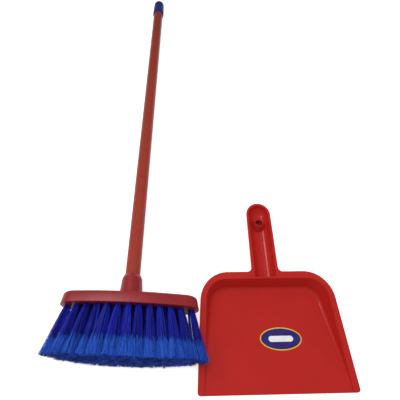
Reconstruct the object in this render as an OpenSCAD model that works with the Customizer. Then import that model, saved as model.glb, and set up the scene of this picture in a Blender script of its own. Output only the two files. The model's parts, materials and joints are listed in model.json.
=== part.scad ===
// Dustpan and long-handled brush, lying side by side on the floor.
// Row frame, in millimetres: +Z up, X along the dustpan's mouth, +Y from the mouth towards
// the dustpan's handle. The origin is on the floor at the middle of the mouth's lip.
// The brush is modelled upright in its own frame: Z along its stick, with the origin at the
// middle of the block's underside, where the bristles come out. lie_down() places it.

/* [Dustpan] */
// Width across the mouth, rims included
mouth_w = 226; // [200:1:240]
// Depth from the lip to the rim's back edge
pan_depth = 166.5; // [160:0.5:175]
// Height of the rim's back edge above the floor
pan_h = 30; // [28:1:36]
// Distance from the lip to the end of the handle
pan_len = 279; // [270:1:300]
// Width of the dustpan's handle at its end
grip_w = 39.5; // [37:0.5:42]
// Radius of the hanging hole in the dustpan's handle
pan_hole_r = 5.5; // [4.5:0.1:6]

/* [Brush] */
// Length of the block along the mouth of the brush
block_len = 200; // [196:1:202]
// Depth of the block at its middle
block_depth = 54; // [50:1:56]
// Thickness of the block
block_t = 18; // [16:0.5:20]
// Length of the bristles below the middle of the block
bristle_len = 72.5; // [70:0.5:80]
// Diameter of the wooden stick
stick_d = 22; // [21.5:0.1:22.5]
// Distance from the top of the socket to the end of the cap
stick_len = 784; // [700:1:900]
// Pitch of the screw thread
thread_pitch = 5; // [4:0.5:6]

/* [Layout] */
// Position of the brush across the floor, from the dustpan's middle
brush_x = -206.9; // [-230:0.1:-206]
// Position of the block's underside along the floor, from the lip
brush_y = 111.8; // [105:0.1:120]
// Turn of the stick away from the dustpan's own direction
brush_yaw = 3.23; // [1:0.01:4]

/* [Hidden] */
eps = 0.01;
far = 900;

// Dustpan: shell
lip_top = 2.5;                          // top of the rim's plane at the lip
shell_t = 2;                            // walls and rim
floor_t = 2.2;                          // tray floor
lip_t = 0.8;                            // floor thickness at the very lip
ramp_len = 13.8;                        // bevel from the tray floor down to the lip
rim_back_w = 198.4;                     // rim's outer width where its sides would meet the back edge
rim_corner_r = 44;
rim_front_r = 4;
rim_taper = (mouth_w - rim_back_w) / 2 / pan_depth;
rim_tilt = atan((pan_h - lip_top) / pan_depth);
tray_half = mouth_w / 2 - 9.9;          // foot of the side walls at the lip
tray_taper = 0.137;                     // narrowing of the tray per unit of depth, each side
tray_back = pan_depth - 17.9;           // foot of the back wall
tray_corner_r = 28;
side_draft = 20;                        // lean of the side walls, in degrees
back_draft = 16;
foot_r = 6;                             // fillet along the foot of the walls

// Dustpan: handle
grip_neck_w = grip_w + 2;               // width where the handle leaves the rim
grip_neck_r = 7;                        // fillet where the handle leaves the rim
trough_r = 16.4;
trough_rise = 2.5;                      // centre of the trough's round above the rim's plane
trough_start = pan_depth - 7.7;         // open end of the trough, in the back wall
trough_end = pan_len - grip_w / 2;
hole_y = pan_len - 32.5;                // distance of the hanging hole from the lip
boss_top_r = 7.2;
boss_foot_r = 11;
boss_drop = 1.5;                        // top of the boss below the rim's plane
boss_h = 15;                            // height of the boss's flare
tube_r = 7.7;                           // sleeve that carries the hole on below the trough
tube_h = 31;                            // from the top of the boss to the foot of the sleeve
sink_r = 6.3;                           // countersink at the hole's mouth
sink_depth = 1;

// Label
label_w = 62;
label_h = 32.6;
label_t = 0.2;
label_x = 14.6;
label_y = 72.5;

// Brush block and socket
block_end_r = 21;
block_round = 5;                        // rounding of the top edge
block_draft = 2;                        // narrowing from the underside to the top
socket_h = 31.2;
socket_top_r = 15;
socket_foot_r = 17.2;
socket_lip_r = 12.3;
socket_chamfer = 5;
socket_z = block_t + socket_h;
mouth_r = stick_d / 2 + 0.8;            // recess in the socket for the end of the stick
mouth_depth = 9;
thread_r = 9.6;                         // crest of the screw thread
thread_root = 8.4;
thread_gap = 0.2;
bore_floor = 14.5;                      // height of the screw socket's end above the underside

// Tufts: holes are on rings inside the block's outline, and the tufts fan out
tuft_step = 14.4;
ring_half = [6, 5.25] * tuft_step;      // half length of the outer and the inner ring
ring_depth = [18.5, 9.5];
tuft_hole_r = 3.45;
tuft_hole_depth = 12;
tuft_r = 3.3;
tuft_tip_r = 5.5;
trim_r = 1500;                          // radius of the trimmed ends, seen from the front
fan_x = 1.21;                           // spread of the tips along the block
fan_y = 1.62;                           // spread of the tips across the block
anchor = [7.6, 0.5, 2];                 // flat wire that holds a folded tuft
anchor_gap = 0.05;

// Stick, film, tip and cap
film_t = 0.3;
film_gap = 0.02;
tenon_r = 7;
tenon_len = 30;
tip_collar_r = stick_d / 2;
tip_collar_h = 8;
tip_floor = bore_floor + 1.5;
tip_shoulder = socket_z - mouth_depth + 0.3;
stick_foot = tip_shoulder + tip_collar_h;
stick_end = socket_z + stick_len;
cap_len = 53;
cap_wall = 2.3;
cap_rim_r = stick_d / 2 + film_t + cap_wall;
cap_top_r = cap_rim_r - 0.7;
cap_dome = 9;
cap_cup = 27;
cap_hole_r = 3;
cap_hole_drop = 20.5;                   // hanging hole below the end of the cap
cap_foot = stick_end - cap_len;
stick_top = cap_foot + cap_cup - 0.5;
brad_r = 0.6;
brad_len = 7;
brad_gap = 0.02;

// Rest pose: the stick slopes from the bristles down to the cap's shoulder on the floor
tip_height = 35.8;
stick_slope = asin((tip_height - cap_top_r) / (stick_end - cap_dome + bristle_len));

// ---- Outlines ----

function arc(cx, cy, r, from, to, n = 24) =
    [for (i = [0:n]) let (a = from + (to - from) * i / n) [cx + r * cos(a), cy + r * sin(a)]];

function flipped(points) = [for (i = [len(points) - 1:-1:0]) [-points[i][0], points[i][1]]];

// Right half of a trapezoid with straight sides that close in by taper, and round back corners.
function pan_side(half, taper, back, r, front, front_r) =
    let (
        a = atan(taper),
        cx = half - taper * (back - r) - r / cos(a),
        fy = front + front_r,
        fx = half - taper * fy - front_r / cos(a)
    )
    concat(
        front_r > 0 ? arc(fx, fy, front_r, -90, a, 4) : [[half - taper * front, front]],
        arc(cx, back - r, r, a, 90)
    );

module pan_outline(half, taper, back, r, front = 0, front_r = 0) {
    side = pan_side(half, taper, back, r, front, front_r);
    polygon(concat(side, flipped(side)));
}

// Long oval with two flat arcs and two round ends.
module block_outline(inset = 0) {
    end_x = block_len / 2 - block_end_r;
    depth = block_depth / 2;
    bow = (end_x * end_x + depth * depth - block_end_r * block_end_r) / (2 * (depth - block_end_r));
    meet = asin(end_x / (bow - block_end_r));
    side = arc(0, depth - bow, bow - inset, 90, 90 - meet, 6);
    end = arc(end_x, 0, block_end_r - inset, 90 - meet, meet - 90, 20);
    right = concat([for (i = [1:5]) side[i]], end, [for (i = [5:-1:1]) [side[i][0], -side[i][1]]]);
    polygon(concat([[0, depth - inset]], right, [[0, inset - depth]], flipped(right)));
}

// ---- Dustpan ----

// Coordinates in the rim's plane: X across, Y along it from the lip, Z square to it.
module in_rim_plane() {
    translate([0, 0, lip_top]) rotate([rim_tilt, 0, 0]) children();
}

module under_rim(top = 0) {
    in_rim_plane() translate([-far / 2, -far / 2, top - far]) cube(far);
}

// One level of the tray: the walls lean out by their drafts, and the foot's fillet closes
// to nothing at the mouth, where the walls have no height.
module tray_level(z, grow, inset = 0, front = 0) {
    rise = z - floor_t;
    translate([0, 0, z]) linear_extrude(eps)
        pan_outline(
            tray_half + grow + rise * tan(side_draft),
            tray_taper + inset / tray_back,
            tray_back + grow - inset + rise * tan(back_draft),
            tray_corner_r + grow - inset + rise * tan(side_draft) / 2,
            front
        );
}

module tray_outside() {
    hull() {
        tray_level(0, shell_t / 2);
        tray_level(pan_h + 8, shell_t);
    }
}

module tray_inside() {
    hull() {
        for (a = [0:7.5:82.5])
            tray_level(floor_t + foot_r * (1 - cos(a)), 0, foot_r * (1 - sin(a)), -10);
        tray_level(floor_t + foot_r, 0, 0, -10);
        tray_level(pan_h + 12, 0, 0, -10);
    }
}

module rim() {
    intersection() {
        difference() {
            under_rim();
            under_rim(-shell_t);
        }
        linear_extrude(far) union() {
            pan_outline(mouth_w / 2, rim_taper, pan_depth, rim_corner_r, 0, rim_front_r);
            grip_outline();
        }
    }
}

module grip_outline() {
    hull() {
        translate([-grip_neck_w / 2, pan_depth - 20]) square([grip_neck_w, 20]);
        translate([0, trough_end]) circle(grip_w / 2, $fn = 96);
    }
    for (side = [-1, 1])
        translate([side * (grip_neck_w / 2), pan_depth]) difference() {
            translate([side > 0 ? -1 : -grip_neck_r, -1]) square(grip_neck_r + 1);
            translate([side * grip_neck_r, grip_neck_r]) circle(grip_neck_r, $fn = 48);
        }
}

// Round-bottomed channel with a round end, as a solid of the given radius.
module trough(r, start) {
    in_rim_plane() translate([0, 0, trough_rise]) {
        translate([0, start / cos(rim_tilt), 0]) rotate([-90, 0, 0])
            cylinder(r = r, h = (trough_end - start) / cos(rim_tilt), $fn = 72);
        translate([0, trough_end / cos(rim_tilt), 0]) sphere(r = r, $fn = 72);
    }
}

// Upright axis of the hanging hole, with its origin at the top of the boss.
module hole_axis() {
    translate([0, hole_y, lip_top + hole_y * tan(rim_tilt) - boss_drop]) children();
}

// Flared boss round the hanging hole, and the sleeve under it.
module boss() {
    hole_axis() {
        translate([0, 0, -boss_h]) cylinder(r1 = boss_foot_r, r2 = boss_top_r, h = boss_h, $fn = 64);
        translate([0, 0, -tube_h]) cylinder(r = tube_r, h = tube_h - boss_h + eps, $fn = 64);
    }
}

module hanging_hole() {
    hole_axis() {
        cylinder(r = pan_hole_r, h = 3 * tube_h, center = true, $fn = 64);
        translate([0, 0, -sink_depth]) cylinder(r1 = pan_hole_r, r2 = sink_r, h = sink_depth + eps, $fn = 64);
    }
}

module pan() {
    color([0.72, 0.13, 0.12]) difference() {
        union() {
            rim();
            intersection() {
                union() {
                    tray_outside();
                    trough(trough_r + shell_t, tray_back);
                }
                under_rim();
            }
            boss();
        }
        tray_inside();
        difference() {
            trough(trough_r, trough_start);
            boss();
        }
        hanging_hole();
        lip_bevel();
    }
}

// Wedge that thins the tray's floor towards the lip, between the side walls.
module lip_bevel() {
    low = lip_t - (floor_t - lip_t) / ramp_len;
    high = floor_t + 2;
    intersection() {
        translate([-tray_half, 0, 0]) rotate([90, 0, 90]) linear_extrude(2 * tray_half)
            polygon([[-1, low], [ramp_len, floor_t], [ramp_len, high], [-1, high]]);
        linear_extrude(high + 1) pan_outline(tray_half, tray_taper, tray_back, tray_corner_r, -2);
    }
}

module pan_label() {
    color([0.14, 0.12, 0.42]) translate([label_x, label_y, floor_t + eps]) linear_extrude(label_t)
        polygon([for (a = [0:7.5:352.5]) [label_w / 2 * cos(a), label_h / 2 * sin(a)]]);
}

// ---- Brush ----

module lie_down() {
    translate([brush_x, brush_y, tip_height - bristle_len * sin(stick_slope)])
        rotate([0, 0, -brush_yaw]) rotate([-90 - stick_slope, 0, 0]) children();
}

// Tuft places [x, y] on the block's underside. The bristles' front is the side that faces up.
function ring(n, k, side) = [for (i = [-n:1:n]) let (x = i * tuft_step)
    [x, side * ring_depth[k] * sqrt(1 - pow(x / ring_half[k], 2))]];

function half_steps(n, k, side) = [for (i = [-n:1:n - 1]) let (x = (i + 0.5) * tuft_step)
    [x, side * ring_depth[k] * sqrt(1 - pow(x / ring_half[k], 2))]];

front_outer = ring(5, 0, -1);
front_inner = half_steps(5, 1, -1);
middle = [for (i = [-6:1:6]) [i * tuft_step, 0]];
rear_inner = half_steps(5, 1, 1);
rear_outer = ring(5, 0, 1);

// Aims a child's -Z along a tuft, from its root at p towards its tip.
module at_tuft(p) {
    run = [p[0] * (fan_x - 1), p[1] * (fan_y - 1)];
    lean = atan(norm(run) / bristle_len);
    translate([p[0], p[1], 0]) rotate([0, 0, atan2(run[1], run[0])]) rotate([0, -lean, 0]) children();
}

module tuft(p) {
    reach = norm([p[0] * (fan_x - 1), p[1] * (fan_y - 1), bristle_len]);
    at_tuft(p) {
        translate([0, 0, -reach - 2]) cylinder(r1 = tuft_tip_r, r2 = tuft_r, h = reach + 2, $fn = 32);
        translate([0, 0, -1]) cylinder(r = tuft_r, h = tuft_hole_depth - 0.5, $fn = 32);
    }
}

module anchor_wire(p, grow = 0) {
    size = anchor + [grow, grow, grow] * 2;
    at_tuft(p) translate([-size[0] / 2, -size[1] / 2, tuft_hole_depth - 2 * anchor[2] - grow])
        cube(size);
}

module tuft_row(places) {
    color([0.09, 0.12, 0.62]) difference() {
        intersection() {
            for (p = places) tuft(p);
            translate([0, 0, trim_r - bristle_len]) rotate([90, 0, 0])
                cylinder(r = trim_r, h = far, center = true, $fn = 360);
        }
        for (p = places) anchor_wire(p, anchor_gap);
    }
}

module block_body() {
    hull() {
        linear_extrude(eps) block_outline();
        for (a = [0:18:90])
            translate([0, 0, block_t - block_round * (1 - sin(a)) - eps]) linear_extrude(eps)
                block_outline(block_draft + block_round * (1 - cos(a)));
    }
}

module brush_block() {
    color([0.60, 0.16, 0.18]) difference() {
        union() {
            block_body();
            translate([0, 0, block_t - 3])
                cylinder(r1 = socket_foot_r, r2 = socket_top_r, h = socket_h + 3 - socket_chamfer, $fn = 64);
            translate([0, 0, socket_z - socket_chamfer])
                cylinder(r1 = socket_top_r, r2 = socket_lip_r, h = socket_chamfer, $fn = 64);
        }
        translate([0, 0, bore_floor]) cylinder(r = thread_r + thread_gap, h = far, $fn = 64);
        translate([0, 0, socket_z - mouth_depth]) cylinder(r = mouth_r, h = far, $fn = 64);
        for (row = [front_outer, front_inner, middle, rear_inner, rear_outer], p = row) {
            at_tuft(p) translate([0, 0, -3]) cylinder(r = tuft_hole_r, h = tuft_hole_depth + 3, $fn = 32);
            anchor_wire(p, anchor_gap);
        }
    }
}

module tuft_anchors() {
    color("silver")
        for (row = [front_outer, front_inner, middle, rear_inner, rear_outer], p = row) anchor_wire(p);
}

// ---- Stick ----

module handle_stick() {
    color([0.72, 0.55, 0.36]) difference() {
        union() {
            translate([0, 0, stick_foot + film_gap])
                cylinder(r = stick_d / 2 - film_gap, h = stick_top - stick_foot - film_gap, $fn = 64);
            translate([0, 0, stick_foot - tenon_len]) cylinder(r = tenon_r, h = tenon_len + 1, $fn = 48);
        }
        brads(brad_gap);
    }
}

module handle_film() {
    color([0.60, 0.20, 0.17]) translate([0, 0, stick_foot]) difference() {
        cylinder(r = stick_d / 2 + film_t, h = stick_top - stick_foot, $fn = 64);
        translate([0, 0, -1]) cylinder(r = stick_d / 2, h = stick_top, $fn = 64);
    }
}

// Round-crested screw thread: an off-centre circle twisted along the axis.
module screw(h) {
    mid = (thread_r + thread_root) / 2;
    linear_extrude(height = h, twist = -360 * h / thread_pitch, slices = round(h / thread_pitch * 14))
        translate([thread_r - mid, 0]) circle(mid, $fn = 28);
}

module threaded_tip() {
    thread_h = tip_shoulder - tip_floor;
    color([0.55, 0.14, 0.16]) difference() {
        union() {
            translate([0, 0, tip_floor]) screw(thread_h);
            translate([0, 0, tip_shoulder]) cylinder(r = tip_collar_r, h = tip_collar_h - film_gap, $fn = 64);
        }
        translate([0, 0, stick_foot - tenon_len - 0.3]) cylinder(r = tenon_r + film_gap, h = far, $fn = 48);
        brads(brad_gap);
    }
}

module brads(grow = 0) {
    for (side = [0, 180])
        translate([0, 0, tip_shoulder + tip_collar_h / 2]) rotate([0, 90, side])
            translate([0, 0, tip_collar_r - brad_len]) cylinder(r = brad_r + grow, h = brad_len, $fn = 24);
}

module tip_brads() {
    color("silver") brads();
}

module end_cap() {
    dome = [for (a = [0:10:90]) [cap_top_r - cap_dome + cap_dome * cos(a), cap_len - cap_dome + cap_dome * sin(a)]];
    profile = concat([[0, 0], [cap_rim_r, 0]], dome, [[0, cap_len]]);
    color([0.10, 0.16, 0.45]) translate([0, 0, cap_foot]) difference() {
        rotate_extrude($fn = 96) polygon(profile);
        translate([0, 0, -1]) cylinder(r = stick_d / 2 + film_t + film_gap, h = cap_cup + 1, $fn = 64);
        translate([0, 0, cap_len - cap_hole_drop]) rotate([90, 0, 0])
            cylinder(r = cap_hole_r, h = far, center = true, $fn = 32);
    }
}

pan();
pan_label();
lie_down() brush_block();
lie_down() tuft_row(front_outer);  // tufts_front_outer
lie_down() tuft_row(front_inner);  // tufts_front_inner
lie_down() tuft_row(middle);  // tufts_middle
lie_down() tuft_row(rear_inner);  // tufts_rear_inner
lie_down() tuft_row(rear_outer);  // tufts_rear_outer
lie_down() tuft_anchors();
lie_down() handle_stick();
lie_down() handle_film();
lie_down() threaded_tip();
lie_down() tip_brads();
lie_down() end_cap();
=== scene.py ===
"""Looks of a hand dustpan and a long-handled broom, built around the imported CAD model."""
import json
import math
import bpy
import numpy as np
from mathutils import Matrix, Vector


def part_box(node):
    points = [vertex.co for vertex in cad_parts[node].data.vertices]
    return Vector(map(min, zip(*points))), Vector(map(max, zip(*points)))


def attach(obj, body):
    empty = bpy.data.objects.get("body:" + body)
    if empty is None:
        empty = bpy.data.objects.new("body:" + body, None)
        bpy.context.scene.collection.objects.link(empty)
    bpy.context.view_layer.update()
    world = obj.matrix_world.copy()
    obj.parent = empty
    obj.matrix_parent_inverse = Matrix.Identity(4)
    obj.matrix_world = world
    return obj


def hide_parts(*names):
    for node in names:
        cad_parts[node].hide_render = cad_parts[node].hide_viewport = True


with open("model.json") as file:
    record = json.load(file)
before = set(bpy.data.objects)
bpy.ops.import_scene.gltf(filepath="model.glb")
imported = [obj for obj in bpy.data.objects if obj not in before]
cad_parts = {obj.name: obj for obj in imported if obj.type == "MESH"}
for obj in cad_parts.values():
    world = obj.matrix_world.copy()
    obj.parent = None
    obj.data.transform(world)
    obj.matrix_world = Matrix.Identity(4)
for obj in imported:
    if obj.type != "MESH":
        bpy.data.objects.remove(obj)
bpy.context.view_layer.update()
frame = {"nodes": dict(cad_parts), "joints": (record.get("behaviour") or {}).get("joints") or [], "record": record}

MM = 0.001
TAU = 2 * math.pi
AXIS_R = 0.01              # millimetres: a ring this small closes a turned shape on its axis
nodes = frame["nodes"]
joints = {joint["name"]: joint for joint in frame["joints"]}
mounts = {mount["name"]: mount for mount in frame["record"]["mounts"]}


# ---- The broom's own frame: millimetres, Z along the stick, -Y up, origin under the block ----

def broom_frame():
    along = Vector(joints["handle_turn"]["axis"]).normalized()
    down = -Vector(mounts["cap_hanging_hole"]["axis"])
    across = down.cross(along).normalized()
    turn = Matrix((across, along.cross(across), along)).transposed()
    return Matrix.Translation(joints["handle_turn"]["pos_m"]) @ turn.to_4x4() @ Matrix.Scale(MM, 4)


BROOM = broom_frame()
BROOM_TURN = np.array(BROOM.to_3x3())
BROOM_ORIGIN = np.array(BROOM.translation)
TO_GRAIN = tuple(-angle for angle in BROOM.to_euler())    # turns object coordinates to the stick


def to_broom(points):
    return (np.asarray(points) - BROOM_ORIGIN) @ np.linalg.inv(BROOM_TURN).T


def from_broom(points):
    return np.asarray(points) @ BROOM_TURN.T + BROOM_ORIGIN


def node_points(name):
    mesh = nodes[name].data
    points = np.empty(len(mesh.vertices) * 3)
    mesh.vertices.foreach_get("co", points)
    return points.reshape(-1, 3)


def broom_box(name):
    points = to_broom(node_points(name))
    return points.min(0), points.max(0)


def loose_parts(name):
    """The vertices of each separate solid of a CAD node, in the broom's frame."""
    mesh = nodes[name].data
    points = to_broom(node_points(name))
    spots, group = np.unique(np.round(points, 3), axis=0, return_inverse=True)
    owner = np.arange(len(spots))

    def root(i):
        while owner[i] != i:
            owner[i] = owner[owner[i]]
            i = owner[i]
        return i

    group = group.ravel()
    for edge in mesh.edges:
        a, b = root(group[edge.vertices[0]]), root(group[edge.vertices[1]])
        owner[a] = b
    roots = np.array([root(i) for i in range(len(spots))])
    return [spots[roots == r] for r in np.unique(roots)]


# ---- Meshes ----

def add_mesh(name, points, faces, materials, sharp, slots=None):
    """A smooth mesh object, with hard edges where faces meet at more than the sharp angle."""
    mesh = bpy.data.meshes.new(name)
    mesh.from_pydata([tuple(p) for p in points], [], faces)
    for mat in materials:
        mesh.materials.append(mat)
    if slots is not None:
        mesh.polygons.foreach_set("material_index", slots)
    mesh.polygons.foreach_set("use_smooth", [True] * len(mesh.polygons))
    mesh.set_sharp_from_angle(angle=math.radians(sharp))
    mesh.update()
    obj = bpy.data.objects.new(name, mesh)
    bpy.context.scene.collection.objects.link(obj)
    return obj


def mesh_of_arrays(name, points, parts, materials):
    """A mesh from arrays of faces, each with its material slots. Three-sided faces are flat."""
    corners = [faces.shape[-1] for faces, _ in parts for _ in range(faces.size // faces.shape[-1])]
    starts = np.concatenate(([0], np.cumsum(corners)[:-1]))
    mesh = bpy.data.meshes.new(name)
    mesh.vertices.add(len(points))
    mesh.vertices.foreach_set("co", points.ravel())
    mesh.loops.add(sum(corners))
    mesh.loops.foreach_set("vertex_index", np.concatenate([faces.ravel() for faces, _ in parts]))
    mesh.polygons.add(len(corners))
    mesh.polygons.foreach_set("loop_start", starts)
    for mat in materials:
        mesh.materials.append(mat)
    mesh.polygons.foreach_set("material_index", np.concatenate([slots.ravel() for _, slots in parts]))
    mesh.polygons.foreach_set("use_smooth", np.array(corners) == 4)
    mesh.update(calc_edges=True)
    mesh.validate()
    obj = bpy.data.objects.new(name, mesh)
    bpy.context.scene.collection.objects.link(obj)
    return obj


def apply_modifiers(obj):
    mesh = bpy.data.meshes.new_from_object(obj.evaluated_get(bpy.context.evaluated_depsgraph_get()))
    obj.modifiers.clear()
    obj.data = mesh


def skin(rings, close_ends=True, first=0):
    """Quads between rings of equal count, in order, with a face at each end."""
    n = len(rings[0])
    faces = []
    for k in range(len(rings) - 1):
        a, b = first + k * n, first + (k + 1) * n
        faces += [(a + i, a + (i + 1) % n, b + (i + 1) % n, b + i) for i in range(n)]
    if close_ends:
        faces.append(tuple(first + i for i in reversed(range(n))))
        faces.append(tuple(first + (len(rings) - 1) * n + i for i in range(n)))
    return faces


def lathe(profile, n):
    """Rings about Z for a profile of (radius, height) points."""
    turn = np.linspace(0, TAU, n, endpoint=False)
    return [np.column_stack((r * np.cos(turn), r * np.sin(turn), np.full(n, z))) for r, z in profile]


def arc(cx, cy, r, start, stop, steps):
    """Points of an arc, angles in degrees."""
    a = np.radians(np.linspace(start, stop, steps + 1))
    return [(cx + r * math.cos(t), cy + r * math.sin(t)) for t in a]


# ---- Materials ----

class Shader:
    """A node material with a Principled shader, and short ways to add what drives it."""

    def __init__(self, name, roughness, specular, colour=(0.5, 0.5, 0.5)):
        self.mat = bpy.data.materials.new(name)
        self.mat.use_nodes = True
        self.tree = self.mat.node_tree
        self.out = self.tree.nodes["Principled BSDF"]
        self.set("Base Color", (*colour, 1))
        self.set("Roughness", roughness)
        self.set("Specular IOR Level", specular)

    def set(self, socket, value):
        self.out.inputs[socket].default_value = value

    def node(self, kind, **inputs):
        made = self.tree.nodes.new("ShaderNode" + kind)
        for name, value in inputs.items():
            self.feed(made, name.replace("_", " "), value)
        return made

    def feed(self, made, name, value):
        if isinstance(value, bpy.types.NodeSocket):
            self.tree.links.new(value, made.inputs[name])
        else:
            made.inputs[name].default_value = value

    def link(self, socket, value):
        self.tree.links.new(value, self.out.inputs[socket])

    def place(self, stretch=(1, 1, 1), turn=(0, 0, 0)):
        """Object coordinates in metres, turned and stretched."""
        source = self.tree.nodes.new("ShaderNodeTexCoord").outputs["Object"]
        return self.node("Mapping", Vector=source, Scale=stretch, Rotation=turn).outputs["Vector"]

    def noise(self, scale, detail=2.0, stretch=(1, 1, 1), turn=(0, 0, 0)):
        made = self.node("TexNoise", Vector=self.place(stretch, turn), Scale=scale, Detail=detail)
        return made.outputs["Fac"]

    def ramp(self, value, stops):
        made = self.node("ValToRGB", Fac=value)
        ramp = made.color_ramp
        while len(ramp.elements) < len(stops):
            ramp.elements.new(0.5)
        for element, (at, colour) in zip(ramp.elements, stops):
            element.position = at
            element.color = (*colour, 1)
        return made.outputs["Color"]

    def remap(self, value, low, high, source=(0.3, 0.7)):
        made = self.node("MapRange", Value=value)
        self.feed(made, "From Min", source[0])
        self.feed(made, "From Max", source[1])
        self.feed(made, "To Min", low)
        self.feed(made, "To Max", high)
        return made.outputs["Result"]

    def multiply(self, first, second, share):
        """The first colour times the second, by a share. Mix takes its colours by their index."""
        made = self.node("Mix")
        made.data_type = "RGBA"
        made.blend_type = "MULTIPLY"
        factor, colour_a, colour_b, result = 0, 6, 7, 2
        made.inputs[factor].default_value = share
        self.tree.links.new(first, made.inputs[colour_a])
        self.tree.links.new(second, made.inputs[colour_b])
        return made.outputs[result]

    def bump(self, value, strength, distance):
        made = self.node("Bump", Height=value, Strength=strength, Distance=distance)
        self.link("Normal", made.outputs["Normal"])


def moulded(name, colour, deep, pale, roughness, specular, grain=0.15):
    """Moulded plastic: faint flow shades, a fine satin grain and slightly uneven gloss."""
    shader = Shader(name, roughness, specular)
    flow = shader.noise(18, 3)
    shader.link("Base Color", shader.ramp(flow, [(0.3, deep), (0.5, colour), (0.72, pale)]))
    shader.link("Roughness", shader.remap(shader.noise(70, 4), roughness * 0.93, roughness * 1.07))
    shader.bump(shader.noise(1500, 2), grain, 0.0001)
    return shader.mat


def fibre(name, colour, roughness):
    """One lit or shaded copy of a fibre's blue, painted light and shade, its gloss uneven along its length."""
    shader = Shader(name, roughness, 0.3, colour)
    shader.link("Roughness", shader.remap(shader.noise(240, 2), roughness - 0.08, roughness + 0.1))
    return shader.mat


def wood():
    """Turned hardwood, grain along the stick."""
    shader = Shader("stick_wood", 0.6, 0.3)
    grain = shader.noise(12, 6, (30, 30, 1.2), TO_GRAIN)
    stops = [(0.3, (0.26, 0.14, 0.06)), (0.6, (0.52, 0.34, 0.17)), (0.8, (0.6, 0.42, 0.24))]
    shader.link("Base Color", shader.ramp(grain, stops))
    shader.bump(grain, 0.3, 0.0003)
    return shader.mat


def film():
    """Shrunk film with a red-brown wood-grain print under its gloss; painted shade darkens it towards the cap."""
    shader = Shader("stick_film", 0.38, 0.25)
    broad = shader.noise(9, 3, (9, 9, 0.9), TO_GRAIN)
    fine = shader.noise(60, 4, (14, 14, 0.5), TO_GRAIN)
    stops = [(0.35, (0.33, 0.04, 0.022)), (0.52, (0.37, 0.042, 0.026)), (0.68, (0.29, 0.052, 0.024))]
    base = shader.ramp(broad, stops)
    streak = shader.ramp(fine, [(0.42, (0.72, 0.62, 0.6)), (0.58, (1, 1, 1))])
    printed_grain = shader.multiply(base, streak, 0.6)
    # Painted shade: light falling off along the stick, darker towards the cap.
    along = shader.node("SeparateXYZ", Vector=shader.place()).outputs["Y"]
    painted_falloff = shader.remap(along, 1.02, 0.72, (0.15, 0.95))
    painted_shade = shader.node("HueSaturation", Color=printed_grain, Value=painted_falloff)
    shader.link("Base Color", painted_shade.outputs["Color"])
    shader.link("Roughness", shader.remap(fine, 0.3, 0.45))
    shader.bump(fine, 0.12, 0.0002)
    return shader.mat


def drawn_wire():
    shader = Shader("wire", 0.32, 0.5, (0.6, 0.59, 0.57))
    shader.set("Metallic", 1.0)
    shader.link("Roughness", shader.remap(shader.noise(400, 3), 0.24, 0.42))
    return shader.mat


def printed(name, colour, deep):
    """One ink of the label, slightly mottled under its gloss."""
    shader = Shader(name, 0.25, 0.5)
    shader.link("Base Color", shader.ramp(shader.noise(150, 2), [(0.35, deep), (0.6, colour)]))
    shader.link("Roughness", shader.remap(shader.noise(300, 2), 0.2, 0.3))
    return shader.mat


def shades(name, colours, roughness):
    return [fibre("%s_%d" % (name, i), colour, roughness) for i, colour in enumerate(colours)]


red = moulded("pan_plastic", (0.455, 0.016, 0.012), (0.44, 0.015, 0.0115), (0.47, 0.017, 0.013),
              roughness=0.23, specular=0.35, grain=0.03)
crimson = moulded("block_plastic", (0.235, 0.014, 0.018), (0.21, 0.012, 0.015), (0.26, 0.018, 0.023),
                  roughness=0.36, specular=0.4, grain=0.5)
tip_red = moulded("tip_plastic", (0.24, 0.02, 0.026), (0.2, 0.016, 0.02), (0.27, 0.026, 0.03),
                  roughness=0.5, specular=0.3)
navy = moulded("cap_plastic", (0.009, 0.026, 0.165), (0.007, 0.021, 0.14), (0.012, 0.032, 0.19),
               roughness=0.42, specular=0.15)
wire = drawn_wire()

# Painted light and shade: lit and shaded copies of each stretch's colour, from lit to shaded.
SHANK = shades("bristle_shank", [(0.019, 0.029, 0.56), (0.014, 0.022, 0.43), (0.007, 0.010, 0.22),
                                 (0.003, 0.005, 0.06)], 0.4)
FLAG = shades("bristle_flag", [(0.042, 0.19, 0.87), (0.024, 0.105, 0.66), (0.015, 0.055, 0.44),
                               (0.008, 0.025, 0.22)], 0.5)
# Painted shade on the crowded cut ends of the fibres, from lit to shaded.
CUT = shades("bristle_cut", [(0.03, 0.11, 0.65), (0.013, 0.055, 0.4), (0.004, 0.014, 0.14)], 0.6)
STRAY = shades("bristle_stray", [(0.13, 0.16, 0.44)], 0.3)
BRISTLE_MATERIALS = SHANK + FLAG + CUT + STRAY
FIRST_FLAG = len(SHANK)
FIRST_CUT = FIRST_FLAG + len(FLAG)
FIRST_STRAY = FIRST_CUT + len(CUT)


# ---- Bristles ----

FIBRES_PER_TUFT = 128
CLUMPS = 32                # bundles of fibres in a tuft that bend together and share a shade
FIBRE_R = 0.23
HAIR_R = 0.15
HAIRS = 3                  # split ends of a fibre
SPLIT_AT = (0.58, 0.72)    # where fibres start to split, as a share of their length
CUT_SHADE_LEN = 0.015            # painted shade on the cut end, as a share of the length
SHANK_STEPS = 5
HAIR_STEPS = (0, 0.35, 0.7)
SIDES = 3

HEAD_SLICE = 0.5           # height of the slice of a CAD tuft that gives its upper end
FOOT_SLICE = 3.0           # and its lower end
ROOT_HEIGHT = 1.5          # how deep in the block the fibres start
ROOT_R = 3.4
SPREAD = 10.4              # radius of a tuft at its tips
SPREAD_RANGE = (0.92, 1.08)
FAN_POWER = 0.85           # below 1, a tuft widens faster near its root
END_ROOT = 1.35            # how much wider the tufts at the block's two ends start
END_SPREAD = 1.22          # and fan
END_FILL = 1.5             # and how many more fibres they hold

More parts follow.
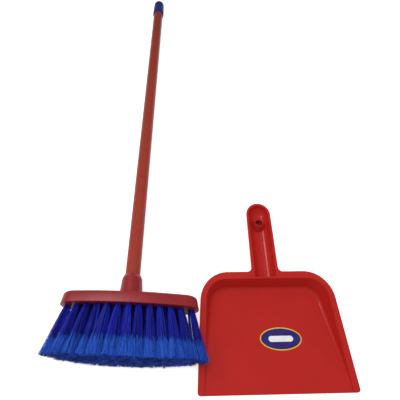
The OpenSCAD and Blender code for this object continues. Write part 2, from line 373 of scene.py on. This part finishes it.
# How far things stray sideways, at most for SWAY, FRAY and CURL, and as a spread for BOW and LEAN.
LEAN = 0.7                 # a whole tuft's tip
CLUMP_SWAY = 1.1           # a clump's tips
CLUMP_BOW = 0.7            # and its middle
FIBRE_SWAY = 1.3
FIBRE_BOW = 0.4
FRAY = 1.8                 # the split ends' tips
CURL = 1.1                 # and their middle
CLUMP_TRIM = 0.8           # how unevenly clumps and single fibres are cut
FIBRE_TRIM = 0.5

# Chances of the four painted shades, from lit to shaded. Inner rows see less light, so they get more painted
# shade.
OUTER_CHANCES = (0.4, 0.35, 0.2, 0.05)
INNER_CHANCES = (0.0, 0.1, 0.35, 0.55)
OWN_SHADE = 0.25           # share of the fibres, and of the hairs, that differ from their clump
OWN_HAIR_SHADE = 0.5
STRAYS = 0.014             # share of thin pale fibres that stick out
STRAY_SWING = 5.0
STRAY_THIN = 0.6

FLOOR_GAP = 0.25
FLOOR_EASE = 4.0           # height over which fibres near the floor bend to lie on it
LAST_TUFT = broom_box("brush_block")[1][0] * 0.9    # tufts further out than this are end tufts

ROW_CHANCES = {
    "tufts_front_outer": OUTER_CHANCES,
    "tufts_front_inner": INNER_CHANCES,
    "tufts_middle": INNER_CHANCES,
    "tufts_rear_inner": INNER_CHANCES,
    "tufts_rear_outer": OUTER_CHANCES,
}


def trim_curve():
    """Coefficients of the trimmed ends' height against distance from the middle."""
    parts = loose_parts("tufts_middle")
    tips = np.array([part[part[:, 2] < part[:, 2].min() + FOOT_SLICE].mean(0) for part in parts])
    return np.polyfit(tips[:, 0] ** 2, tips[:, 2], 1)


def tubes(paths, radii):
    """Closed three-sided tubes along paths: their points, sides, ends and each side's ring."""
    count, rings = radii.shape
    run = paths[:, -1] - paths[:, 0]
    run /= np.linalg.norm(run, axis=1, keepdims=True)
    side = np.cross(run, [0.31, 0.95, 0.07])
    side /= np.linalg.norm(side, axis=1, keepdims=True)
    other = np.cross(run, side)
    turn = np.arange(SIDES) * TAU / SIDES
    around = np.cos(turn)[None, :, None] * side[:, None] + np.sin(turn)[None, :, None] * other[:, None]
    points = paths[:, :, None] + radii[:, :, None, None] * around[:, None]
    step = np.arange(SIDES)
    quads = []
    for ring in range(rings - 1):
        a = ring * SIDES + step
        b = ring * SIDES + (step + 1) % SIDES
        quads.append(np.column_stack((a, b, b + SIDES, a + SIDES)))
    ends = np.array([step[::-1], (rings - 1) * SIDES + step])
    first = np.arange(count)[:, None, None] * rings * SIDES
    ring_of = np.repeat(np.arange(rings - 1), SIDES)
    return points.reshape(-1, 3), np.concatenate(quads)[None] + first, ends[None] + first, ring_of


def on_floor(points):
    """The broom's points in metres, with what would pass the floor bent up to lie on it."""
    world = from_broom(points)
    height = world[..., 2] / MM
    knee = FLOOR_GAP + FLOOR_EASE
    eased = FLOOR_GAP + FLOOR_EASE * np.exp(np.minimum(height - knee, 0) / FLOOR_EASE)
    world[..., 2] = np.where(height < knee, eased, height) * MM
    return world


def swing(rng, limit, *shape):
    """Random sideways offsets, evenly spread up to a limit."""
    return rng.uniform(-limit, limit, (*shape, 3)) * [1, 1, 0]


def scatter(rng, spread, *shape):
    """Random sideways offsets, normally spread."""
    return rng.normal(0, spread, (*shape, 3)) * [1, 1, 0]


def grow_tuft(part, curve, at_end, chances, rng):
    """Shank and split-end paths of one tuft in the broom's frame, with their radii and shades."""
    head = part[part[:, 2] > part[:, 2].max() - HEAD_SLICE]
    foot = part[part[:, 2] < part[:, 2].min() + FOOT_SLICE]
    top = (head.min(0) + head.max(0)) / 2
    tip = (foot.min(0) + foot.max(0)) / 2
    root = top + (tip - top) / (top[2] - tip[2]) * (top[2] - ROOT_HEIGHT)
    root_r = ROOT_R * (END_ROOT if at_end else 1)
    n = round(FIBRES_PER_TUFT * (END_FILL if at_end else 1))

    turn = rng.uniform(0, TAU, n)
    disc = np.column_stack((np.cos(turn), np.sin(turn), np.zeros(n))) * np.sqrt(rng.uniform(0, 1, n))[:, None]
    centres = rng.uniform(-1, 1, (CLUMPS, 2))
    clump = np.argmin(np.linalg.norm(disc[:, None, :2] - centres[None], axis=2), axis=1)
    sway = swing(rng, CLUMP_SWAY, CLUMPS)
    bow = scatter(rng, CLUMP_BOW, CLUMPS)
    shade = rng.choice(len(SHANK), CLUMPS, p=chances)[clump]
    shade = np.where(rng.uniform(0, 1, n) < OWN_SHADE, rng.choice(len(SHANK), n, p=chances), shade)
    stray = rng.uniform(0, 1, n) < STRAYS

    end = tip + scatter(rng, LEAN) + sway[clump] + swing(rng, FIBRE_SWAY, n)
    end += stray[:, None] * scatter(rng, STRAY_SWING, n)
    wide = SPREAD * rng.uniform(*SPREAD_RANGE) * (END_SPREAD if at_end else 1)
    reach = end + disc * wide
    ragged = rng.uniform(-CLUMP_TRIM, CLUMP_TRIM, CLUMPS)[clump] + rng.uniform(-FIBRE_TRIM, FIBRE_TRIM, n)
    end[:, 2] = np.polyval(curve, reach[:, 0] ** 2) + ragged
    bend = bow[clump] + scatter(rng, FIBRE_BOW, n)

    def path(t):
        """Points of every fibre at its own shares t of its length."""
        t = t[..., None]
        line = root + (end[:, None] - root) * t
        fan = root_r + (wide - root_r) * t ** FAN_POWER
        return line + disc[:, None] * fan + bend[:, None] * np.sin(np.pi * t)

    split = rng.uniform(*SPLIT_AT, n)[:, None]
    shank = path(split * np.linspace(0, 1, SHANK_STEPS + 1))
    shank_radii = np.full((n, SHANK_STEPS + 1), FIBRE_R) * rng.uniform(0.85, 1.1, (n, 1))
    shank_radii[stray] *= STRAY_THIN
    grow = np.array([*HAIR_STEPS, 1.0])[None]
    share = split + (1 - CUT_SHADE_LEN - split) * grow
    share = np.column_stack((share, np.ones(n)))
    base = path(share)
    grow = np.column_stack((np.repeat(grow, n, 0), np.ones(n)))[..., None]
    hairs = []
    for _ in range(HAIRS):
        fray = swing(rng, FRAY, n, 1)
        curl = swing(rng, CURL, n, 1)
        hairs.append(base + fray * grow ** 1.5 + curl * np.sin(np.pi * grow))
    count = n * HAIRS
    hair_radii = np.full((count, share.shape[1]), HAIR_R) * rng.uniform(0.75, 1.15, (count, 1))
    own = rng.uniform(0, 1, count) < OWN_HAIR_SHADE
    hair_shade = np.where(own, rng.choice(len(FLAG), count, p=chances), np.tile(shade, HAIRS))
    hair_shade[np.tile(stray, HAIRS)] = 0
    # Painted shade on the cut ends, chosen per clump.
    cut = np.tile(rng.choice(len(CUT), CLUMPS)[clump], HAIRS)
    return shank, shank_radii, np.where(stray, -1, shade), np.concatenate(hairs), hair_radii, hair_shade, cut


def tuft_row(name, seed, chances):
    """The fibres of one row of tufts as one mesh. Tufts at the block's ends are lit as outer ones."""
    rng = np.random.default_rng(seed)
    curve = trim_curve()
    tufts = []
    for part in loose_parts(name):
        at_end = abs(part[:, 0].mean()) > LAST_TUFT
        tufts.append(grow_tuft(part, curve, at_end, OUTER_CHANCES if at_end else chances, rng))
    columns = [np.concatenate(column) for column in zip(*tufts)]
    shank, shank_r, shank_shade, hair, hair_r, hair_shade, cut = columns
    points, quads, ends, ring = tubes(on_floor(shank), shank_r * MM)
    slot = np.where(shank_shade < 0, FIRST_STRAY, shank_shade)[:, None]
    faces = [(quads, np.repeat(slot, len(ring), 1)), (ends, np.repeat(slot, 2, 1))]
    more, quads, ends, ring = tubes(on_floor(hair), hair_r * MM)
    cut_slot = FIRST_CUT + cut[:, None]
    slot = np.where(ring == ring.max(), cut_slot, FIRST_FLAG + hair_shade[:, None])
    faces += [(quads + len(points), slot), (ends + len(points), np.repeat(cut_slot, 2, 1))]
    return mesh_of_arrays(name + "_fibres", np.concatenate((points, more)), faces, BRISTLE_MATERIALS)


for seed, (row, chances) in enumerate(ROW_CHANCES.items()):
    piece = tuft_row(row, seed + 1, chances)
    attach(piece, "brush_head")
    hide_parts(row)


# ---- Brush block ----

BLOCK_T = 18.0
BLOCK_END_R = 21.0
BLOCK_ROUND = 5.0          # rounding of the upper edge
BLOCK_DRAFT = 2.0          # how far the sides lean in
BLOCK_FOOT_ROUND = 0.8     # rounding of the lower edge

SOCKET_FOOT_R = 17.0
SOCKET_TOP_R = 15.0
SOCKET_FILLET = 2.5        # where the socket meets the block
SHOULDER_R = 1.0           # rounding where the socket's side turns into its chamfer
SHOULDER_DROP = 5.6
SOCKET_LIP_R = 12.3
MOUTH_R = 11.8
MOUTH_DEPTH = 9.0
BORE_R = 9.8
BORE_FLOOR = 14.5
EASE_LONG = 0.3            # eased edges of the lip
EASE_SHORT = 0.2


def oval(half_length, half_depth, end_r, inset, steps=22):
    """Outline of two flat arcs and two round ends, moved in by inset."""
    end_x = half_length - end_r
    bow = (end_x ** 2 + half_depth ** 2 - end_r ** 2) / (2 * (half_depth - end_r))
    meet = math.degrees(math.asin(end_x / (bow - end_r)))
    top = arc(0, half_depth - bow, bow - inset, 90, 90 - meet, steps)[:-1]
    end = arc(end_x, 0, end_r - inset, 90 - meet, meet - 90, steps)
    right = top + end + [(x, -y) for x, y in reversed(top[1:])]
    return np.array(right + [(-x, -y) for x, y in right])


def socket_profile(foot, top):
    """Outside of the socket from its fillet up over the chamfer, then down its bore."""
    slope = math.degrees(math.atan((SOCKET_FOOT_R - SOCKET_TOP_R) / (top - foot)))
    profile = arc(SOCKET_FOOT_R + SOCKET_FILLET, foot + SOCKET_FILLET, SOCKET_FILLET, 270, 180 + slope, 6)
    profile += arc(SOCKET_TOP_R - SHOULDER_R, top - SHOULDER_DROP, SHOULDER_R, 0, 50, 4)
    profile += [(SOCKET_LIP_R + EASE_LONG, top - EASE_SHORT), (SOCKET_LIP_R, top)]
    profile += [(MOUTH_R + EASE_SHORT, top), (MOUTH_R, top - EASE_LONG), (MOUTH_R, top - MOUTH_DEPTH)]
    profile += [(BORE_R, top - MOUTH_DEPTH), (BORE_R, BORE_FLOOR), (AXIS_R, BORE_FLOOR)]
    return profile


def make_block():
    """The oval block with eased edges, and its socket with a fillet at the foot."""
    half_length, half_depth, top = broom_box("brush_block")[1]
    levels = []
    for a in np.radians(np.linspace(0, 90, 5)):
        levels.append((BLOCK_FOOT_ROUND * (1 - math.sin(a)), BLOCK_FOOT_ROUND * (1 - math.cos(a))))
    for a in np.radians(np.linspace(0, 90, 11)):
        inset = BLOCK_DRAFT + BLOCK_ROUND * (1 - math.cos(a))
        levels.append((inset, BLOCK_T - BLOCK_ROUND * (1 - math.sin(a))))
    body = []
    for inset, z in levels:
        outline = oval(half_length, half_depth, BLOCK_END_R, inset)
        body.append(np.column_stack((outline, np.full(len(outline), z))))
    socket = lathe(socket_profile(BLOCK_T, top), 128)
    points = np.concatenate(body + socket)
    faces = skin(body) + skin(socket, False, sum(len(ring) for ring in body))
    obj = add_mesh("block", from_broom(points), faces, [crimson], sharp=40)
    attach(obj, "brush_head")
    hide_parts("brush_block")
    return obj


block = make_block()


# ---- Label ----

LABEL_EASE = (0.1, 0.08)   # eased edge of the film, across and down
LABEL_BORDER = 1.6
BAR_HALF = 14.0            # from the bar's middle to the centres of its round ends
BAR_R = 4.2
BAR_PROUD = 0.04
BAR_SUNK = 0.02


def make_label():
    """Oval sticker: a blue field, a thin yellow border and a blank white bar."""
    low, high = (np.array(corner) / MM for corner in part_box("pan_label"))
    centre, half = (low + high) / 2, (high - low) / 2
    top, bottom = high[2], low[2]
    n = 128
    turn = np.linspace(0, TAU, n, endpoint=False)

    def ring(inset, z):
        return np.column_stack((centre[0] + (half[0] - inset) * np.cos(turn),
                                centre[1] + (half[1] - inset) * np.sin(turn), np.full(n, z)))

    across, down = LABEL_EASE
    rings = [ring(0, bottom), ring(0, top - down), ring(across, top), ring(LABEL_BORDER, top)]
    faces = skin(rings)
    yellow, blue, white = range(3)
    slots = [yellow] * (len(faces) - 1) + [blue]
    bar = arc(BAR_HALF, 0, BAR_R, -90, 90, 16) + arc(-BAR_HALF, 0, BAR_R, 90, 270, 16)
    plate = []
    for z in (top - BAR_SUNK, top + BAR_PROUD):
        plate.append(np.array([(centre[0] + x, centre[1] + y, z) for x, y in bar]))
    faces += skin(plate, True, n * len(rings))
    slots += [white] * (len(faces) - len(slots))
    inks = [printed("label_yellow", (0.72, 0.50, 0.03), (0.66, 0.45, 0.025)),
            printed("label_blue", (0.03, 0.02, 0.17), (0.025, 0.016, 0.14)),
            printed("label_white", (0.8, 0.8, 0.82), (0.74, 0.74, 0.78))]
    obj = add_mesh("sticker", np.concatenate(rings + plate) * MM, faces, inks, 30, slots)
    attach(obj, "dustpan")
    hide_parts("pan_label")


make_label()


# ---- End cap ----

CUP_R = 11.32              # hollow that the stick fills
CUP_DEPTH = 27.0
CUP_EASE = 0.6             # chamfer at the hollow's mouth
RIM_ROUND = 0.8
CAP_TAPER = 0.7            # how much narrower the wall is under the dome
WALL_MIDDLE = 22.0         # height above the rim where half of the taper is done
DOME_R = 9.0
DRILL_REACH = 30.0


def make_cap():
    """The blue cap, with the hanging hole drilled across it."""
    low, high = broom_box("end_cap")
    rim_r, rim, end = high[0], low[2], high[2]
    profile = [(AXIS_R, rim + CUP_DEPTH), (CUP_R, rim + CUP_DEPTH), (CUP_R, rim + CUP_EASE)]
    profile += [(CUP_R + CUP_EASE, rim), (rim_r - RIM_ROUND, rim)]
    profile += arc(rim_r - RIM_ROUND, rim + RIM_ROUND, RIM_ROUND, -90, 0, 5)
    profile += [(rim_r - CAP_TAPER / 2, rim + WALL_MIDDLE)]
    profile += arc(rim_r - CAP_TAPER - DOME_R, end - DOME_R, DOME_R, 0, 89.9, 16)
    rings = lathe(profile, 96)
    obj = add_mesh("cap_shell", from_broom(np.concatenate(rings)), skin(rings), [navy], sharp=35)

    hole = mounts["cap_hanging_hole"]
    hole_r = hole["dims"]["r_mm"]
    drill_rings = lathe([(hole_r, -DRILL_REACH), (hole_r, DRILL_REACH)], 48)
    turn = Vector(hole["axis"]).to_track_quat("Z", "Y").to_matrix()
    drill_points = np.concatenate(drill_rings) * MM @ np.array(turn).T + np.array(hole["pos_m"])
    drill = add_mesh("drill", drill_points, skin(drill_rings), [navy], sharp=35)
    cut = obj.modifiers.new("hole", "BOOLEAN")
    cut.object = drill
    cut.operation = "DIFFERENCE"
    cut.solver = "EXACT"
    apply_modifiers(obj)
    bpy.data.objects.remove(drill)
    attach(obj, "cap")
    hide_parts("end_cap")


make_cap()


# ---- Carried-over CAD nodes ----

PAN_EDGE = 0.95 * MM       # rounding of the dustpan's sharp edges

CARRIED_OVER = {
    "pan": red,
    "tuft_anchors": wire,
    "handle_stick": wood(),
    "handle_film": film(),
    "threaded_tip": tip_red,
    "tip_brads": wire,
}
for node, mat in CARRIED_OVER.items():
    obj = nodes[node]
    obj.data.materials.clear()
    obj.data.materials.append(mat)

planes = nodes["pan"].modifiers.new("planes", "DECIMATE")
planes.decimate_type = "DISSOLVE"
planes.angle_limit = math.radians(1)
edges = nodes["pan"].modifiers.new("edges", "BEVEL")
edges.width = PAN_EDGE
edges.segments = 3
edges.limit_method = "ANGLE"
edges.angle_limit = math.radians(40)
edges.use_clamp_overlap = False
edges.harden_normals = True


# ---- Floor and surroundings ----

WORLD_LIGHT = 0.62         # strength of the white surroundings as light
WORLD_MIRRORED = 0.12      # and as seen in glossy surfaces
FLOOR_SEEN = 0.6           # the floor's own glow where the camera sees it
FLOOR_GLOW = 0.12          # and as light on the object
FLOOR_DROP = 0.0005        # keeps the floor just clear of what rests on it

bpy.ops.mesh.primitive_plane_add(size=30)
floor = bpy.context.object
floor.name = "floor"
floor.location.z = -FLOOR_DROP
white = Shader("floor_white", 0.8, 0.1, (0.85, 0.85, 0.85))
white.set("Emission Color", (1, 1, 1, 1))
seen = white.tree.nodes.new("ShaderNodeLightPath").outputs["Is Camera Ray"]
white.link("Emission Strength", white.remap(seen, FLOOR_GLOW, FLOOR_SEEN, (0, 1)))
floor.data.materials.append(white.mat)

world = bpy.data.worlds.new("studio")
bpy.context.scene.world = world
world.use_nodes = True
tree = world.node_tree
ray = tree.nodes.new("ShaderNodeLightPath")
strength = tree.nodes.new("ShaderNodeMapRange")
strength.inputs["To Min"].default_value = WORLD_LIGHT
strength.inputs["To Max"].default_value = WORLD_MIRRORED
tree.links.new(ray.outputs["Is Glossy Ray"], strength.inputs["Value"])
backdrop = tree.nodes.new("ShaderNodeMath")    # full white where the camera sees it
backdrop.operation = "MAXIMUM"
tree.links.new(strength.outputs["Result"], backdrop.inputs[0])
tree.links.new(ray.outputs["Is Camera Ray"], backdrop.inputs[1])
tree.nodes["Background"].inputs["Color"].default_value = (1, 1, 1, 1)
tree.links.new(backdrop.outputs["Value"], tree.nodes["Background"].inputs["Strength"])


# ---- Lights ----

MIDDLE = (-0.1, 0.2, 0)    # between the two items


def softbox(name, place, target, size, power, mirrored=True):
    """A square lamp turned to its target, which glossy surfaces may leave out of their mirror image."""
    light = bpy.data.lights.new(name, "AREA")
    light.size = size
    light.energy = power
    obj = bpy.data.objects.new(name, light)
    bpy.context.scene.collection.objects.link(obj)
    obj.visible_glossy = mirrored
    obj.location = place
    obj.rotation_euler = (Vector(target) - Vector(place)).to_track_quat("-Z", "Y").to_euler()
    return obj


softbox("overhead", (-0.35, 0.22, 1.6), MIDDLE, 0.6, 10, False)
softbox("ceiling", (-0.25, 0.1, 1.7), MIDDLE, 1.1, 0.45)
softbox("key", (-1.2, 0.45, 1.45), MIDDLE, 0.25, 3.6)

# The sheen along the top of the block comes from a lamp that lights nothing else.
glow = softbox("broom_glow", (-0.63, 0.66, 1.6), (-0.2, 0.15, 0), 0.3, 5.5)
lit_only = bpy.data.collections.new("lit_by_glow")
lit_only.objects.link(block)
glow.light_linking.receiver_collection = lit_only


# ---- Camera ----

CAMERA = Vector((-0.1624, -0.0452, 0.5644))
PITCH = math.radians(57.15)     # looks down by this much
ROLL = math.radians(2.37)
HEADING = math.radians(-3.28)
LENS = 33.06
SENSOR = 36.0
SHIFT_X = 0.0722

level = Vector((-math.sin(HEADING), math.cos(HEADING), 0))
right = Vector((math.cos(HEADING), math.sin(HEADING), 0))
forward = level * math.cos(PITCH) - Vector((0, 0, math.sin(PITCH)))
up = right.cross(forward)
rolled_right = right * math.cos(ROLL) + up * math.sin(ROLL)
rolled_up = up * math.cos(ROLL) - right * math.sin(ROLL)
camera = bpy.data.objects.new("camera", bpy.data.cameras.new("camera"))
bpy.context.scene.collection.objects.link(camera)
camera.data.sensor_width = SENSOR
camera.data.lens = LENS
camera.data.shift_x = SHIFT_X
camera.data.clip_start = 0.01
turn = Matrix((rolled_right, rolled_up, -forward)).transposed()
camera.matrix_world = Matrix.Translation(CAMERA) @ turn.to_4x4()
bpy.context.scene.camera = camera
bpy.context.scene.view_settings.view_transform = "Standard"
